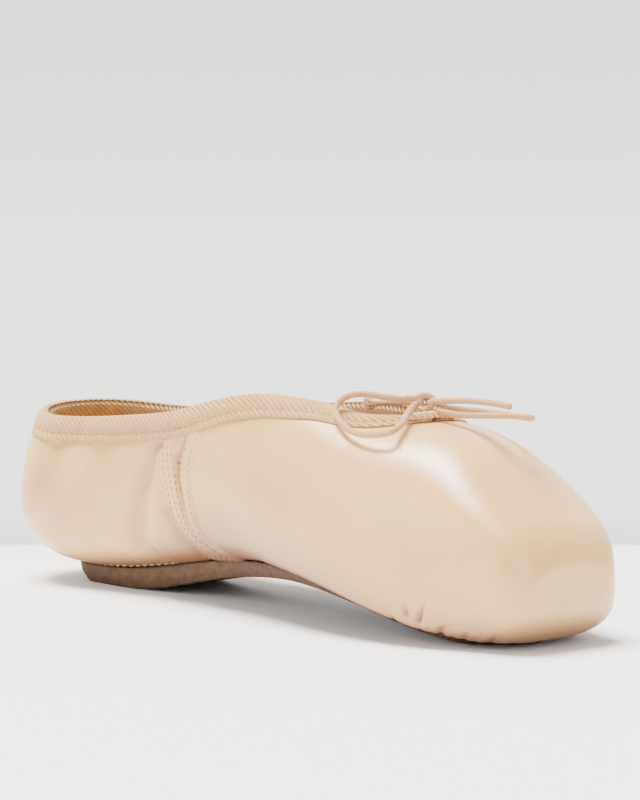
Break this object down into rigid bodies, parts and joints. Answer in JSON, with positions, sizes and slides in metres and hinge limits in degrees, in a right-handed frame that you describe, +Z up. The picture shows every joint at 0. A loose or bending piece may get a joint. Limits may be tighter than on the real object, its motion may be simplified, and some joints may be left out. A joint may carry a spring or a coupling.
{
  "type": "pointe shoe",
  "caption": "Ballet pointe shoe: hollow satin upper with a stiff toe box and flat platform, twill-bound collar with a tied drawstring, thin arched leather sole.",
  "frame": {"origin": "middle of the shoe's bounding box in plan, on the floor under the sole, measured without the drawstring's bow", "axes": "+X from the heel to the toe platform, +Z up"},
  "size_m": [0.2449, 0.0772, 0.0739],
  "materials": {
    "satin": "satin weave, soft sheen",
    "leather": "undyed split leather, matte",
    "lining": "plain cotton, matte",
    "twill": "cotton twill tape, matte",
    "cord": "braided cotton cord, matte"
  },
  "bodies": {
    "root": {"upper": "satin", "outsole": "leather", "insole": "lining", "collar_binding": "twill", "drawstring_knot": "cord", "drawstring_loop_side": "cord", "drawstring_loop_front": "cord", "drawstring_end_back": "cord", "drawstring_end_front": "cord"}
  },
  "joints": []
}
